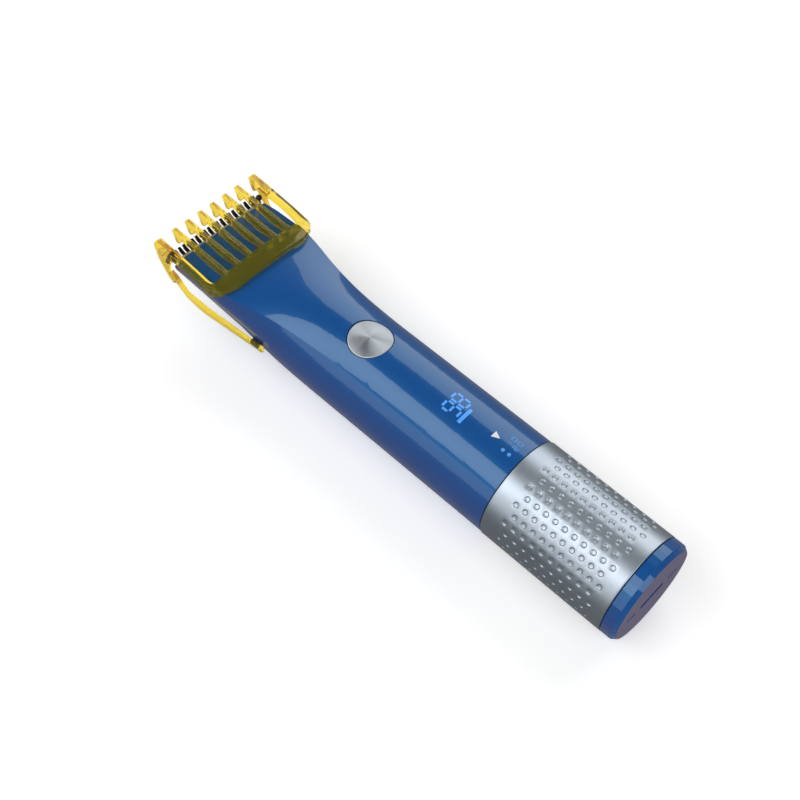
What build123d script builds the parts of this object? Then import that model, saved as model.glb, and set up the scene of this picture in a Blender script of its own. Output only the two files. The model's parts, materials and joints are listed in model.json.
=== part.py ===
from build123d import *
from math import cos, pi, radians, sin, sqrt
import os

# Body groomer, in millimetres, lying on its back.
# +X points to the tail, the comb is at -X, +Z is the side with the button and the display.
# The origin is under the middle of the length, on the surface that the groomer lies on.

# ---- driving dimensions ----
DIAL_R = 16.0            # outer radius of the dial, the end cap and the tail of the body
CAP_LEN = 4.47           # end cap
SLOT_HALF = 4.75         # charging slot in the end cap, half its width
SLOT_H = 0.95            # half its height
SLOT_TURN = 6.0          # degrees that the row of slots is turned about the axis
DIAL_LEN = 42.21         # metal sleeve of the dial
HANDLE_LEN = 70.3        # blue body from the dial to the start of the head
HEAD_LEN = 52.0          # blue body from there to its front edge
COMB_REACH = 6.4         # comb tips ahead of the body's front edge
SEAM = 0.26              # open line between the body, the dial and the end cap
WALL = 1.8               # wall of the two body shells
SLACK = 0.08             # radial running clearance of a shaft or a stem
CLEAR = 0.3              # clearance between pieces that only pass each other

SLEEVE_T = 0.7           # dial: sheet thickness of the metal sleeve
CORE_R = 13.2            # core tube that the dial turns on
CORE_FLANGE = 3.9        # thickness of the core's flange inside the body
DIAL_BEARING_T = 0.3     # radial thickness of the dial's bearing rings

GEAR_MODULE = 0.5
RING_TEETH = 54
PINION_TEETH = 8
GEAR_WIDTH = 3.2
SCREW_R = 1.5            # lead screw that drives the comb
JOURNAL_R = 1.1
COMB_TRAVEL = 9.0

BATTERY_R = 7.0
BATTERY_LEN = 50.0
MOTOR_R = 7.75
MOTOR_LEN = 25.0
MOTOR_SHAFT_R = 1.0
CAM_R = 3.2
CAM_PIN_R = 0.8
BLADE_STROKE = 1.1       # each way, the throw of the cam's pin

BUTTON_R = 6.93          # hole for the power button
BUTTON_GAP = 0.12
BUTTON_X = 57.82         # button, ahead of the dial's seam
BUTTON_TRAVEL = 0.6
BOARD_HALF = 8.5         # main board, half its width
BOARD_T = 1.0

DIGIT_HEIGHT = 5.4       # lit digits, between the centrelines of their bars
DIGIT_WIDTH = 2.8
DIGIT_PITCH = 3.8
BAR_W = 0.72
DISPLAY_X = 24.7         # middle of the digits, ahead of the dial's seam

TOOTH_PITCH = 1.67       # cutting teeth
TOOTH_COUNT = 21
BLADE_TILT = 20.0        # degrees that the teeth point up
BLADE_T = 0.5
BLADE_REACH = 3.7        # tips of the cutting teeth ahead of the body's front edge
BLADE_DROP = 7.2         # and below the top of the dial
GUARD_R = 1.0

COMB_PITCH = 5.02        # middle teeth of the comb
COMB_TEETH = 6
COMB_TOOTH_T = 1.5
COMB_RAIL_Y = DIAL_R + 2.95  # outer rails, to their middle
COMB_RAIL_W = 2.4
COMB_GAP = 0.5           # comb above the body
COMB_TOP = DIAL_R - 0.9  # top of the comb's tips above the axis

# ---- stations worked out along the length ----
AXIS_Z = DIAL_R
LENGTH = CAP_LEN + DIAL_LEN + 2 * SEAM + HANDLE_LEN + HEAD_LEN + COMB_REACH
TAIL_X = LENGTH / 2
CAP_X = TAIL_X - CAP_LEN
DIAL_X1 = CAP_X - SEAM
DIAL_X0 = DIAL_X1 - DIAL_LEN
SHELL_X = DIAL_X0 - SEAM
NECK_X = SHELL_X - HANDLE_LEN
HEAD_X = NECK_X - HEAD_LEN
SEAM_X = SHELL_X + SEAM / 2
BUTTON_MID_X = SEAM_X - BUTTON_X
DIGITS_MID_X = SEAM_X - DISPLAY_X
WAIST = 0.2              # the handle is this much slimmer than the dial
SIDE_R = DIAL_R - WAIST
COMB_TIP_X = HEAD_X - COMB_REACH
FORM_SPANS = 22          # sections that the body's form is drawn through, less one

nodes = {}


# ---- helpers ----
def rod(x0, x1, radius, bore=0.0, y=0.0, z=AXIS_Z):
    """A round bar along X, or a tube where it has a bore."""
    place = Plane((x0, y, z), x_dir=(0, 1, 0), z_dir=(1, 0, 0))
    align = (Align.CENTER, Align.CENTER, Align.MIN)
    solid = place * Cylinder(radius, x1 - x0, align=align)
    if bore:
        solid -= place * Cylinder(bore, x1 - x0, align=align)
    return solid


def post(x, y, z0, z1, radius, bore=0.0):
    """A round bar along Z."""
    align = (Align.CENTER, Align.CENTER, Align.MIN)
    solid = Pos(x, y, z0) * Cylinder(radius, z1 - z0, align=align)
    if bore:
        solid -= Pos(x, y, z0) * Cylinder(bore, z1 - z0, align=align)
    return solid


def block(x0, x1, y0, y1, z0, z1):
    return Pos((x0 + x1) / 2, (y0 + y1) / 2, (z0 + z1) / 2) * Box(x1 - x0, y1 - y0, z1 - z0)


def side_plate(points, y0, y1):
    """A plate with an outline in X and Z, from y0 to y1."""
    face = Plane((0, y1, 0), x_dir=(1, 0, 0), z_dir=(0, -1, 0)) * make_face(Polyline(points, close=True))
    return extrude(face, y1 - y0)


def plan_plate(points, z0, z1):
    """A plate with an outline in X and Y, from z0 to z1."""
    return extrude(Pos(0, 0, z0) * make_face(Polyline(points, close=True)), z1 - z0)


def slot_turned(solid):
    """A solid turned about the groomer's axis as the row of slots in the end cap is."""
    return Pos(0, 0, AXIS_Z) * Rot(SLOT_TURN, 0, 0) * Pos(0, 0, -AXIS_Z) * solid


def both_sides(solid):
    """A solid and its mirror image across the middle plane."""
    return solid + mirror(solid, about=Plane.XZ)


# ---- outer form of the body ----
def handle(x, top_drop):
    """Station of the round handle: its corners lie at 45 degrees."""
    corner = SIDE_R * sqrt(0.5)
    top = DIAL_R - top_drop
    return (x, top, corner, top * sqrt(0.5), SIDE_R, 0.0, corner, -corner, 0.03 - DIAL_R)


# x, then top, crease (y, z), side (y, z), keel corner (y, z) and bottom, as heights from the axis
STATIONS = [
    handle(SHELL_X, 0.28),
    handle(SHELL_X - 20.0, 0.42),
    handle(SHELL_X - 40.0, 0.68),
    handle(BUTTON_MID_X, 1.0),
    (NECK_X, DIAL_R - 1.25, DIAL_R - 4.1, 10.5, SIDE_R + 0.05, 0.0, 11.3, -11.2, -DIAL_R),
    (NECK_X - 11, DIAL_R - 1.8, DIAL_R - 2.9, 10.8, SIDE_R + 0.2, 0.0, 11.4, -10.8, 0.3 - DIAL_R),
    (NECK_X - 20, DIAL_R - 2.4, DIAL_R - 1.2, 11.1, SIDE_R + 0.4, 0.0, 11.6, -8.6, 2.6 - DIAL_R),
    (NECK_X - 30, DIAL_R - 3.3, DIAL_R + 0.9, 11.0, SIDE_R + 0.5, 0.5, 12.2, -5.0, 7.2 - DIAL_R),
    (NECK_X - 40, DIAL_R - 4.9, DIAL_R + 1.8, 9.8, SIDE_R + 0.8, 2.0, 13.5, -0.8, 12.4 - DIAL_R),
    (HEAD_X, DIAL_R - 7.3, DIAL_R + 2.4, 7.6, SIDE_R + 1.8, 4.5, 15.6, 2.6, 17.2 - DIAL_R),
    (HEAD_X - 2, DIAL_R - 7.7, DIAL_R + 2.47, 7.2, SIDE_R + 1.93, 4.83, 15.87, 3.2, 18.0 - DIAL_R),
]


def outline(station, inset):
    """Closed outline across the body: top, right side, bottom and left side, each one arc."""
    x, top, crease_y, crease_z, side_y, side_z, keel_y, keel_z, bottom = station
    slant = inset * 0.75
    top, bottom, side_y = top - inset, bottom + inset, side_y - inset
    crease_y, crease_z = crease_y - slant, crease_z - slant
    keel_y, keel_z = keel_y - slant, keel_z + slant
    edges = [
        ThreePointArc((-crease_y, crease_z), (0, top), (crease_y, crease_z)),
        ThreePointArc((crease_y, crease_z), (side_y, side_z), (keel_y, keel_z)),
        ThreePointArc((keel_y, keel_z), (0, bottom), (-keel_y, keel_z)),
        ThreePointArc((-keel_y, keel_z), (-side_y, side_z), (-crease_y, crease_z)),
    ]
    return Plane((x, 0, AXIS_Z), x_dir=(0, 1, 0), z_dir=(1, 0, 0)) * make_face(edges)


def slopes(xs, values):
    """Slope at each station of a smooth curve that never overshoots its values."""
    steps = [(b - a) / (x1 - x0) for x0, x1, a, b in zip(xs, xs[1:], values, values[1:])]
    inner = [0.0 if a * b <= 0 else 2 * a * b / (a + b) for a, b in zip(steps, steps[1:])]
    return [steps[0]] + inner + [steps[-1]]


def station_at(x):
    """The station at any x, on smooth curves through the chosen ones."""
    xs = [station[0] for station in STATIONS]
    place = next(i for i in range(len(xs) - 1) if x >= xs[i + 1] - 1e-9)
    span = xs[place + 1] - xs[place]
    t = (x - xs[place]) / span
    result = [x]
    for values in list(zip(*STATIONS))[1:]:
        slope = slopes(xs, values)
        result.append((1 + 2 * t) * (1 - t) ** 2 * values[place] + t * t * (3 - 2 * t) * values[place + 1]
                      + t * (1 - t) ** 2 * span * slope[place] - t * t * (1 - t) * span * slope[place + 1])
    return tuple(result)


def body_form(inset):
    first, last = STATIONS[0][0], STATIONS[-1][0]
    count = FORM_SPANS
    return loft([outline(station_at(first + (last - first) * i / count), inset) for i in range(count + 1)])


def top_height(x):
    """Height of the body's top line above the surface it lies on."""
    return AXIS_Z + station_at(x)[1]


form = body_form(0.0)
cavity = body_form(WALL)
room = body_form(WALL + CLEAR)

# ---- cutter: a frame that runs back from the tips of the cutting teeth, tilted up ----
TOOTH_LEN = 2.9
BLADE_DEPTH = 8.5        # blades, from the tips to their rear edge
blade_frame = Plane(
    (HEAD_X - BLADE_REACH, 0, AXIS_Z + DIAL_R - BLADE_DROP),
    x_dir=(cos(radians(BLADE_TILT)), 0, -sin(radians(BLADE_TILT))),
    z_dir=(sin(radians(BLADE_TILT)), 0, cos(radians(BLADE_TILT))),
)


def cutter_block(u0, u1, half, w0, w1):
    """A block across the cutter: u runs back from the tips, w is square to the blades."""
    return blade_frame * block(u0, u1, -half, half, w0, w1)


BLADE_HALF = TOOTH_PITCH * (TOOTH_COUNT - 1) / 2 + 0.6
SLOT_W = TOOTH_PITCH * 0.5
INNER_HALF = DIAL_R - 0.9
BASE_WALL = 0.8


def toothed_plate(u0, half, root_half, w0, w1):
    """A blade: a wide toothed front and a narrower root inside the head."""
    plate = cutter_block(u0, TOOTH_LEN + 0.6, half, w0, w1)
    plate += cutter_block(TOOTH_LEN + 0.6, BLADE_DEPTH, root_half, w0, w1)
    for index in range(TOOTH_COUNT - 1):
        y = (index - (TOOTH_COUNT - 2) / 2) * TOOTH_PITCH
        plate -= blade_frame * block(-1, TOOTH_LEN, y - SLOT_W / 2, y + SLOT_W / 2, w0 - 1, w1 + 1)
    return plate


STRIP_T = 0.25
BLADE_GAP = 0.05
nodes["fixed_blade"] = toothed_plate(0.0, BLADE_HALF, INNER_HALF, -BLADE_T, 0.0)
nodes["moving_blade"] = toothed_plate(0.7, BLADE_HALF - BLADE_STROKE,
                                      INNER_HALF - BASE_WALL - BLADE_STROKE - CLEAR,
                                      -2 * BLADE_T - BLADE_GAP, -BLADE_T - BLADE_GAP)
nodes["blade_strip"] = cutter_block(TOOTH_LEN, TOOTH_LEN + 0.8, BLADE_HALF, 0, STRIP_T)

guard_y = BLADE_HALF + GUARD_R + 0.02
guard = Plane(blade_frame.from_local_coords((1.6, guard_y, -BLADE_T / 2)), z_dir=(0, -1, 0)) * (
    Sphere(GUARD_R) + Cylinder(0.45, guard_y - BLADE_HALF, align=(Align.CENTER, Align.CENTER, Align.MIN)))
guard_foot = blade_frame * block(1.6, TOOTH_LEN + 0.4, BLADE_HALF, BLADE_HALF + 0.6, -BLADE_T, 0)
nodes["end_guards"] = both_sides(guard + guard_foot)

BASE_TOP = -2 * BLADE_T - 2 * BLADE_GAP
BASE_FLOOR = -4.0
base = cutter_block(TOOTH_LEN + 0.9, BLADE_DEPTH + 1.0, INNER_HALF, BASE_FLOOR, -BLADE_T)
base -= cutter_block(TOOTH_LEN, BLADE_DEPTH + 0.6, INNER_HALF - BASE_WALL, BASE_TOP, 1)
base -= cutter_block(TOOTH_LEN + 2.2, BLADE_DEPTH + 2, 8.0, BASE_FLOOR + 1.0, 1)
nodes["cutter_base"] = base & room

SPRING_W = 1.2
spring_u = TOOTH_LEN + 2.4
spring = cutter_block(spring_u, spring_u + SPRING_W, 7.8, BASE_FLOOR + 1.0, BASE_FLOOR + 1.3)
for side in (-1, 1):
    leaf = blade_frame * block(spring_u, spring_u + SPRING_W, side * 6.4 - 0.6, side * 6.4 + 0.6,
                               BASE_FLOOR + 1.3, BASE_TOP - 0.05)
    spring += leaf
nodes["blade_spring"] = spring

# ---- body shells ----
LIP = 0.15               # body's front lip above the blades
shell = form - cavity
shell &= block(HEAD_X, SHELL_X, -2 * DIAL_R, 2 * DIAL_R, -DIAL_R, 3 * DIAL_R)
shell -= cutter_block(-6, BLADE_DEPTH + 2, INNER_HALF + 0.4, BASE_TOP, STRIP_T + LIP)
front = shell & block(-LENGTH, LENGTH, -2 * DIAL_R, 2 * DIAL_R, AXIS_Z, 3 * DIAL_R)
rear = shell & block(-LENGTH, LENGTH, -2 * DIAL_R, 2 * DIAL_R, -DIAL_R, AXIS_Z)

# ---- power button: a crowned metal disc on a stem, over a seal and a switch ----
button_top = AXIS_Z + DIAL_R - 1.0
SEAT_Z = button_top - 2.5
SEAL_T = 0.5
SEAL_R = 7.4
STEM_R = 1.6
front -= post(BUTTON_MID_X, 0, SEAT_Z - 3, SEAT_Z, SEAL_R + 0.1)
front -= post(BUTTON_MID_X, 0, SEAT_Z - 3, button_top + 3, BUTTON_R)
seal_z = SEAT_Z - SEAL_T
nodes["button_seal"] = post(BUTTON_MID_X, 0, seal_z, SEAT_Z, SEAL_R, STEM_R + SLACK)
BOARD_Z = AXIS_Z + 8.8
BOARD_TOP = BOARD_Z + BOARD_T
SWITCH_TOP = BOARD_TOP + 1.2
disc = post(BUTTON_MID_X, 0, SEAT_Z + BUTTON_TRAVEL + 0.05, button_top + 2, BUTTON_R - BUTTON_GAP)
stem = post(BUTTON_MID_X, 0, SWITCH_TOP + BUTTON_TRAVEL + 0.05, SEAT_Z + BUTTON_TRAVEL + 0.05, STEM_R)
nodes["power_button"] = disc & form
nodes["button_stem"] = stem
nodes["button_switch"] = (block(BUTTON_MID_X - 3, BUTTON_MID_X + 3, -3, 3, BOARD_TOP, SWITCH_TOP - 0.3)
                          + post(BUTTON_MID_X, 0, SWITCH_TOP - 0.3, SWITCH_TOP, STEM_R))

# ---- display: lit bars reach from a light guide to the body's surface ----
GUIDE_TOP = AXIS_Z + 12.4
GUIDE_T = 1.2
GUIDE_HALF = 4.8
LED_TOP = GUIDE_TOP - GUIDE_T
DIGIT_BARS = {"nine": "abcdfg", "eight": "abcdefg"}


def digit(y, names):
    """The lit bars of one digit, a at the head end and d at the tail end."""
    half = DIGIT_HEIGHT / 2
    across = DIGIT_WIDTH / 2
    centres = {"a": (-half, 0), "g": (0, 0), "d": (half, 0), "b": (-half / 2, across),
               "c": (half / 2, across), "e": (half / 2, -across), "f": (-half / 2, -across)}
    bars = Part()
    for name in names:
        dx, dy = centres[name]
        flat = name in "agd"
        size_x = BAR_W if flat else half - BAR_W - 0.16
        size_y = DIGIT_WIDTH - BAR_W - 0.16 if flat else BAR_W
        bars += Pos(DIGITS_MID_X + dx, y + dy, GUIDE_TOP) * Box(
            size_x, size_y, 8, align=(Align.CENTER, Align.CENTER, Align.MIN))
    return bars


GAUGE_X = DIGITS_MID_X + DIGIT_HEIGHT / 2 + 1.5
GAUGE_LEN = 5.6
GAUGE_W = 1.15
gauge_y = 1.74 - GAUGE_W / 2
lit = digit(-DIGIT_PITCH / 2, DIGIT_BARS["nine"]) + digit(DIGIT_PITCH / 2, DIGIT_BARS["eight"])
lit += block(GAUGE_X - GAUGE_W / 2, GAUGE_X + GAUGE_W / 2, gauge_y - GAUGE_LEN + GAUGE_W / 2, gauge_y,
             GUIDE_TOP, GUIDE_TOP + 8)
lit += post(GAUGE_X, gauge_y, GUIDE_TOP, GUIDE_TOP + 8, GAUGE_W / 2)
lit &= form
front -= lit
guide_x0 = DIGITS_MID_X - DIGIT_HEIGHT / 2 - 1.5
guide_x1 = GAUGE_X + GAUGE_W / 2 + 1.5
nodes["light_guide"] = lit + block(guide_x0, guide_x1, -GUIDE_HALF, GUIDE_HALF, LED_TOP, GUIDE_TOP)
nodes["display_module"] = block(guide_x0, guide_x1, -GUIDE_HALF, GUIDE_HALF, BOARD_TOP, LED_TOP)
nodes["front_shell"] = front

# ---- core: the tube inside the dial, which also holds the battery ----
CORE_X0 = SHELL_X - CORE_FLANGE
BORE_R = BATTERY_R + 0.3
NECK_R = BORE_R + 1.0
GEAR_X0 = DIAL_X0 + 0.5
GEAR_X1 = GEAR_X0 + GEAR_WIDTH
CORE_STEP = GEAR_X1 + 1.0
BORE_END = CAP_X - 5.4
RING_PITCH_R = GEAR_MODULE * RING_TEETH / 2
PINION_PITCH_R = GEAR_MODULE * PINION_TEETH / 2
SCREW_DROP = RING_PITCH_R - PINION_PITCH_R
SCREW_Z = AXIS_Z - SCREW_DROP
BUSH_R = 1.7
FLANGE_R = DIAL_R - WALL - 0.7

core = rod(CORE_X0, SHELL_X, FLANGE_R) + rod(SHELL_X, CORE_STEP, NECK_R) + rod(CORE_STEP, CAP_X, CORE_R)
core -= rod(CORE_X0 - 1, BORE_END, BORE_R)
core -= rod(CORE_X0 - 1, SHELL_X + 1, BUSH_R, z=SCREW_Z)
SOCKET_GAP = 0.15
SOCKET_DEPTH = 3.6
pocket = block(CAP_X - SOCKET_DEPTH, CAP_X + 1, -SLOT_HALF - SOCKET_GAP, SLOT_HALF + SOCKET_GAP,
               AXIS_Z - SLOT_H - SOCKET_GAP, AXIS_Z + SLOT_H + SOCKET_GAP)
CAP_SCREW_Y = 8.7
CAP_SCREW_R = 1.0
for side in (-1, 1):
    pocket += rod(CAP_X - 5, CAP_X + 1, CAP_SCREW_R, y=side * CAP_SCREW_Y)
core -= slot_turned(pocket)

# detent: a ball and spring in a pocket of the core
BALL_R = 1.0
BALL_X = DIAL_X0 + DIAL_LEN * 0.35
LAND_R = CORE_R + DIAL_BEARING_T + SLACK
ball_z = AXIS_Z + LAND_R - 0.1 - BALL_R
pocket_z = AXIS_Z + BORE_R + 1.0
core -= post(BALL_X, 0, pocket_z, AXIS_Z + DIAL_R, BALL_R)
nodes["core_tube"] = core
nodes["detent_ball"] = Pos(BALL_X, 0, ball_z) * Sphere(BALL_R)
nodes["detent_spring"] = post(BALL_X, 0, pocket_z, ball_z - BALL_R, BALL_R - 0.1, BALL_R - 0.45)

# ---- dial: metal sleeve, plastic carrier and ring gear turn as one on two bearing rings ----
CARRIER_R = DIAL_R - SLEEVE_T
sleeve = rod(DIAL_X0, DIAL_X1, DIAL_R, CARRIER_R)
nodes["dial_sleeve"] = chamfer(sleeve.edges().filter_by(GeomType.CIRCLE).filter_by(
    lambda edge: edge.radius > DIAL_R - 0.01), 0.2)
carrier = rod(GEAR_X1, DIAL_X1, CARRIER_R, LAND_R)
NOTCHES = 24
NOTCH_R = 0.9
for index in range(NOTCHES):
    angle = 2 * pi * index / NOTCHES
    carrier -= rod(BALL_X - 2, BALL_X + 2, NOTCH_R, y=(LAND_R + 0.5) * sin(angle),
                   z=AXIS_Z + (LAND_R + 0.5) * cos(angle))
nodes["dial_carrier"] = carrier
rings = Part()
for x in (CORE_STEP + 1.0, DIAL_X1 - 5.0):
    rings += rod(x, x + 3.0, CORE_R + DIAL_BEARING_T, CORE_R)
nodes["dial_bearings"] = rings


def gear_teeth(x0, x1, count, root, pitch, tip, phase, z):
    """Straight-flanked teeth of one gear, around an axis along X."""
    teeth = Part()
    half_root, half_pitch, half_tip = GEAR_MODULE * 0.72, GEAR_MODULE * 0.6, GEAR_MODULE * 0.4
    points = [(root, -half_root), (pitch, -half_pitch), (tip, -half_tip),
              (tip, half_tip), (pitch, half_pitch), (root, half_root)]
    for index in range(count):
        angle = phase + 2 * pi * index / count
        turned = [(r * sin(angle) + s * cos(angle), r * cos(angle) - s * sin(angle)) for r, s in points]
        face = Plane((x0, 0, z), x_dir=(0, 1, 0), z_dir=(1, 0, 0)) * make_face(Polyline(turned, close=True))
        teeth += extrude(face, x1 - x0)
    return teeth


# the lowest ring tooth points at a gap of the pinion, so the two start in mesh
ring_root, ring_tip = RING_PITCH_R + 0.6, RING_PITCH_R - 0.35
ring_gear = rod(GEAR_X0, GEAR_X1, CARRIER_R, ring_root)
ring_gear += gear_teeth(GEAR_X0, GEAR_X1, RING_TEETH, ring_root + 0.2, RING_PITCH_R, ring_tip, pi, AXIS_Z)
nodes["dial_ring_gear"] = ring_gear
pinion_root, pinion_tip = PINION_PITCH_R - 0.5, PINION_PITCH_R + 0.35
pinion = rod(GEAR_X0, GEAR_X1, pinion_root, z=SCREW_Z)
pinion += gear_teeth(GEAR_X0, GEAR_X1, PINION_TEETH, pinion_root - 0.3, PINION_PITCH_R, pinion_tip,
                     pi + pi / PINION_TEETH, SCREW_Z)
pinion -= rod(GEAR_X0, GEAR_X1, JOURNAL_R, z=SCREW_Z)
nodes["screw_pinion"] = pinion

# ---- lead screw under the motor, in two bushes ----
SCREW_X0 = NECK_X - 8.5
SCREW_X1 = CORE_X0 - 0.2
BUSH_LEN = 3.0
nodes["lead_screw"] = (rod(SCREW_X0, SCREW_X1, SCREW_R, z=SCREW_Z)
                       + rod(SCREW_X0 - BUSH_LEN, GEAR_X1 + 0.6, JOURNAL_R, z=SCREW_Z))
nodes["rear_bush"] = rod(CORE_X0, SHELL_X, BUSH_R, JOURNAL_R + SLACK, z=SCREW_Z)
bush_x0, bush_x1 = SCREW_X0 - BUSH_LEN, SCREW_X0 - 0.2
front_bush = block(bush_x0, bush_x1, -3.5, 3.5, 0, SCREW_Z + 1.9) & cavity
nodes["front_bush"] = front_bush - rod(bush_x0 - 1, bush_x1 + 1, JOURNAL_R + SLACK, z=SCREW_Z)

# ---- comb carriage: a nut under the motor, arms beside it and lugs out through the body ----
NUT_X1 = NECK_X + 9.0
NUT_X0 = NUT_X1 - 6.0
ARM_Y0, ARM_Y1 = 10.0, 12.2
LUG_X0, LUG_X1 = NECK_X - 20.0, NECK_X - 17.0
LUG_Z0, LUG_Z1 = AXIS_Z - 2.0, AXIS_Z - 0.5
LUG_Y = SIDE_R + 1.7
sector = rod(NUT_X0, NUT_X1, SCREW_DROP + 2.2, SCREW_DROP - 2.2)
sector &= block(NUT_X0, NUT_X1, -DIAL_R, DIAL_R, 0, AXIS_Z)
arm = block(LUG_X0, NUT_X1, ARM_Y0, ARM_Y1, LUG_Z0 - CLEAR, AXIS_Z)
lug = block(LUG_X0, LUG_X1, ARM_Y0, LUG_Y, LUG_Z0, LUG_Z1)
NUT_R = 2.0
carriage = sector + both_sides(arm + lug)
nodes["comb_carriage"] = carriage - rod(NUT_X0 - 1, NUT_X1 + 1, NUT_R, z=SCREW_Z)
nodes["carriage_nut"] = rod(NUT_X0, NUT_X1, NUT_R, SCREW_R + SLACK, z=SCREW_Z)

slot = block(LUG_X0 - COMB_TRAVEL - CLEAR, LUG_X1 + CLEAR, ARM_Y1, 2 * DIAL_R, LUG_Z0 - CLEAR, AXIS_Z + 1)
nodes["rear_shell"] = rear - both_sides(slot)

# ---- comb ----
TIP_Z = AXIS_Z + COMB_TOP
RAIL_DEPTH = 2.7
BEAK = 5.1               # depth of a tooth's hooked tip
BAR_X1 = NECK_X - 28.5   # rear edge of the bar across the body
BAR_X0 = BAR_X1 - 6.5
BAR_T = 2.0
CORNER_TOP = TIP_Z - 2.6 # the corners where the bar meets the rails
CORNER_T = 2.0


def beak():
    """Outline of a hooked tip, from the back of the hook round to the top."""
    x = COMB_TIP_X
    return [(x + 4.0, TIP_Z - RAIL_DEPTH), (x + 2.7, TIP_Z - BEAK), (x + 1.6, TIP_Z - BEAK),
            (x, TIP_Z - 0.8), (x + 0.7, TIP_Z)]


def tooth_profile(x_rear):
    """Side outline of a tooth: a bar over the body with a hooked beak in front."""
    return beak() + [(x_rear, TIP_Z - 0.6), (x_rear, top_height(x_rear) - 2),
                     (x_rear - 6, top_height(x_rear - 6)), (COMB_TIP_X + 8, TIP_Z - RAIL_DEPTH)]


comb = Part()
for index in range(COMB_TEETH):
    y = (index - (COMB_TEETH - 1) / 2) * COMB_PITCH
    comb += side_plate(tooth_profile(BAR_X0 + 1), y - COMB_TOOTH_T / 2, y + COMB_TOOTH_T / 2)

# outer rails, which droop to the bar's rounded corners
tip_x = COMB_TIP_X
half = COMB_RAIL_W / 2
rail_out = COMB_RAIL_Y + half
rail_low = TIP_Z - RAIL_DEPTH
rail = beak() + [(tip_x + 10, TIP_Z - 0.7), (BAR_X0 - 5, TIP_Z - 1.5), (BAR_X0 - 1, TIP_Z - 2.2),
                 (BAR_X0 + 1, CORNER_TOP), (BAR_X0 + 1, CORNER_TOP - CORNER_T),
                 (BAR_X0 - 3, CORNER_TOP - CORNER_T + 0.2), (BAR_X0 - 8, rail_low - 0.8),
                 (tip_x + 8, rail_low - 0.4)]
side = side_plate(rail, COMB_RAIL_Y - half, rail_out)

# cheeks stand outside the cutter's end guards, and slim arms run back from them to the lugs
CHEEK_T = 0.9
cheek_y = max(rail_out - 0.55, guard_y + GUARD_R + CLEAR)
cheek = [(tip_x + 0.1, TIP_Z - 1.0), (tip_x + 7.5, TIP_Z - 1.0), (tip_x + 7.5, rail_low - 0.6),
         (tip_x + 6.1, TIP_Z - 8.2), (tip_x + 8.3, TIP_Z - 12.6), (tip_x + 6.9, TIP_Z - 13.0),
         (tip_x + 5.2, TIP_Z - 11.7), (tip_x + 1.6, TIP_Z - 6.6)]
side += side_plate(cheek, cheek_y, cheek_y + CHEEK_T)
ARM_LOW, ARM_HIGH = LUG_Z0 - 0.5, LUG_Z1 + 0.4
ARM_T = 1.5
arm_out = cheek_y + 0.1
BEND_X = NECK_X - 38.0
ARM_END_X = LUG_X1 + 2.0
ARM_END_Y = SIDE_R + COMB_GAP + 0.3
lower = [(tip_x + 5.2, TIP_Z - 10.6), (tip_x + 7.6, TIP_Z - 11.4), (tip_x + 12, ARM_HIGH),
         (BEND_X, ARM_HIGH), (BEND_X, ARM_LOW), (tip_x + 17, ARM_LOW), (tip_x + 12, ARM_LOW + 0.7), (tip_x + 7.4, TIP_Z - 13.6),
         (tip_x + 5.2, TIP_Z - 11.7)]
side += side_plate(lower, arm_out - ARM_T, arm_out)
side += plan_plate([(BEND_X, arm_out - ARM_T), (BEND_X, arm_out), (ARM_END_X, ARM_END_Y + 0.9),
                    (ARM_END_X, ARM_END_Y)], ARM_LOW, ARM_HIGH)
side -= block(LUG_X0, LUG_X1, 0, LUG_Y, LUG_Z0, LUG_Z1)
comb += both_sides(side)

# the bar across the body follows its top, and its corners round into the rails
outer = [(BAR_X0 + 1, rail_out), (BAR_X0 + 2.6, rail_out - 0.5), (BAR_X0 + 3.9, rail_out - 1.7),
         (BAR_X0 + 5.0, rail_out - 3.4), (BAR_X0 + 5.9, rail_out - 5.2), (BAR_X1, rail_out - 7.2)]
bar_plan = [(BAR_X0, 0), (BAR_X0, rail_out)] + outer + [(BAR_X1 + 0.3, 0)]
bar_plan += [(x, -y) for x, y in reversed(bar_plan[1:-1])]
bar = plan_plate(bar_plan, TIP_Z - 4.4, TIP_Z + 1)
comb += bar & body_form(-COMB_GAP - BAR_T)

# a level plate rounds each corner, from the bar out to the rail
inner_y = rail_out - COMB_RAIL_W
corner_plan = [(BAR_X0 - 3, inner_y), (BAR_X0 - 3, rail_out)] + outer
corner_plan += [(BAR_X1, rail_out - 9), (BAR_X0, rail_out - 9), (BAR_X0, inner_y - 1.6), (BAR_X0 - 0.6, inner_y - 0.5)]
comb += both_sides(plan_plate(corner_plan, CORNER_TOP - CORNER_T, CORNER_TOP))

# every setting of the comb clears the body
SETTINGS = 4
for index in range(SETTINGS):
    comb -= Pos(index * COMB_TRAVEL / (SETTINGS - 1), 0, 0) * body_form(-COMB_GAP)
nodes["comb"] = comb

# ---- motor, cam and the driver of the moving blade ----
MOTOR_Z = AXIS_Z - 1.0
MOTOR_X0 = NECK_X - 24.0
MOTOR_X1 = MOTOR_X0 + MOTOR_LEN
BRACKET_T = 1.6
can = rod(MOTOR_X0, MOTOR_X1 - 2.0, MOTOR_R, z=MOTOR_Z)
can -= rod(MOTOR_X0 - 1, MOTOR_X1, MOTOR_SHAFT_R + SLACK, z=MOTOR_Z)
nodes["motor_can"] = can
end_bell = rod(MOTOR_X1 - 2.0, MOTOR_X1, MOTOR_R - 0.4, z=MOTOR_Z)
nodes["motor_end_bell"] = end_bell - rod(MOTOR_X1 - 3, MOTOR_X1 + 1, MOTOR_SHAFT_R + SLACK, z=MOTOR_Z)
nodes["motor_shaft"] = rod(MOTOR_X0 - 3.5, MOTOR_X1 - 0.2, MOTOR_SHAFT_R, z=MOTOR_Z)
cam_x0 = MOTOR_X0 - BRACKET_T - 3.4
cam = rod(cam_x0, cam_x0 + 3.0, CAM_R, z=MOTOR_Z)
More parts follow.
